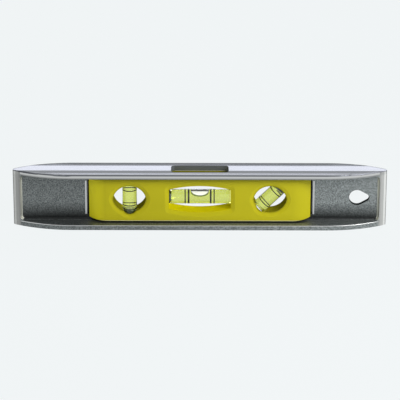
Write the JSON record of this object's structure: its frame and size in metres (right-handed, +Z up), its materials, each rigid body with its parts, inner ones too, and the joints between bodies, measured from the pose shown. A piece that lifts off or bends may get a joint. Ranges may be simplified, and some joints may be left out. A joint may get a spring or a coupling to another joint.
{
  "type": "spirit level",
  "caption": "Short boat-shaped spirit level: cast metal body with top window and teardrop hang hole, and a yellow housing with level, plumb and diagonal vials whose bubbles slide.",
  "frame": {"origin": "middle of the bottom working edge", "axes": "+X along the tool towards the hang hole, +Y from the front face to the rear face, +Z up from the bottom working edge"},
  "size_m": [0.2286, 0.0218, 0.0364],
  "materials": {
    "cast_body": "die-cast, fine silver-grey textured paint, working edges milled bare",
    "vial_housing": "gloss moulded ABS",
    "clear_acrylic": "clear polished acrylic",
    "end_plug": "dark green moulded plastic",
    "vial_liquid": "clear yellow-green liquid",
    "air_bubble": "air in liquid",
    "ring_black": "matt black line"
  },
  "bodies": {
    "root": {"body_frame": "cast_body", "front_vial_housing": "vial_housing", "rear_vial_housing": "vial_housing", "level_left_outer_ring": "ring_black", "level_left_inner_ring": "ring_black", "level_right_inner_ring": "ring_black", "level_right_outer_ring": "ring_black", "level_vial_tube": "clear_acrylic", "level_vial_plug": "end_plug", "level_vial_liquid": "vial_liquid", "plumb_lower_ring": "ring_black", "plumb_upper_ring": "ring_black", "plumb_vial_tube": "clear_acrylic", "plumb_vial_plug": "end_plug", "plumb_vial_liquid": "vial_liquid", "diagonal_lower_ring": "ring_black", "diagonal_upper_ring": "ring_black", "diagonal_vial_tube": "clear_acrylic", "diagonal_vial_plug": "end_plug", "diagonal_vial_liquid": "vial_liquid"},
    "level_bubble_body": {"level_bubble": "air_bubble"},
    "plumb_bubble_body": {"plumb_bubble": "air_bubble"},
    "diagonal_bubble_body": {"diagonal_bubble": "air_bubble"}
  },
  "joints": [
    {"name": "level_bubble_slide", "type": "slide", "parent": "root", "child": "level_bubble_body", "axis": [1, 0, 0], "range_m": [-0.01155, 0.01225], "stiffness_N_per_m": 0.05},
    {"name": "plumb_bubble_slide", "type": "slide", "parent": "root", "child": "plumb_bubble_body", "axis": [0, 0, 1], "range_m": [-0.0113, 0], "stiffness_N_per_m": 0.2, "springref_m": 0.02},
    {"name": "diagonal_bubble_slide", "type": "slide", "parent": "root", "child": "diagonal_bubble_body", "axis": [0.7071, 0, 0.7071], "range_m": [-0.0113, 0], "stiffness_N_per_m": 0.2, "springref_m": 0.02}
  ]
}
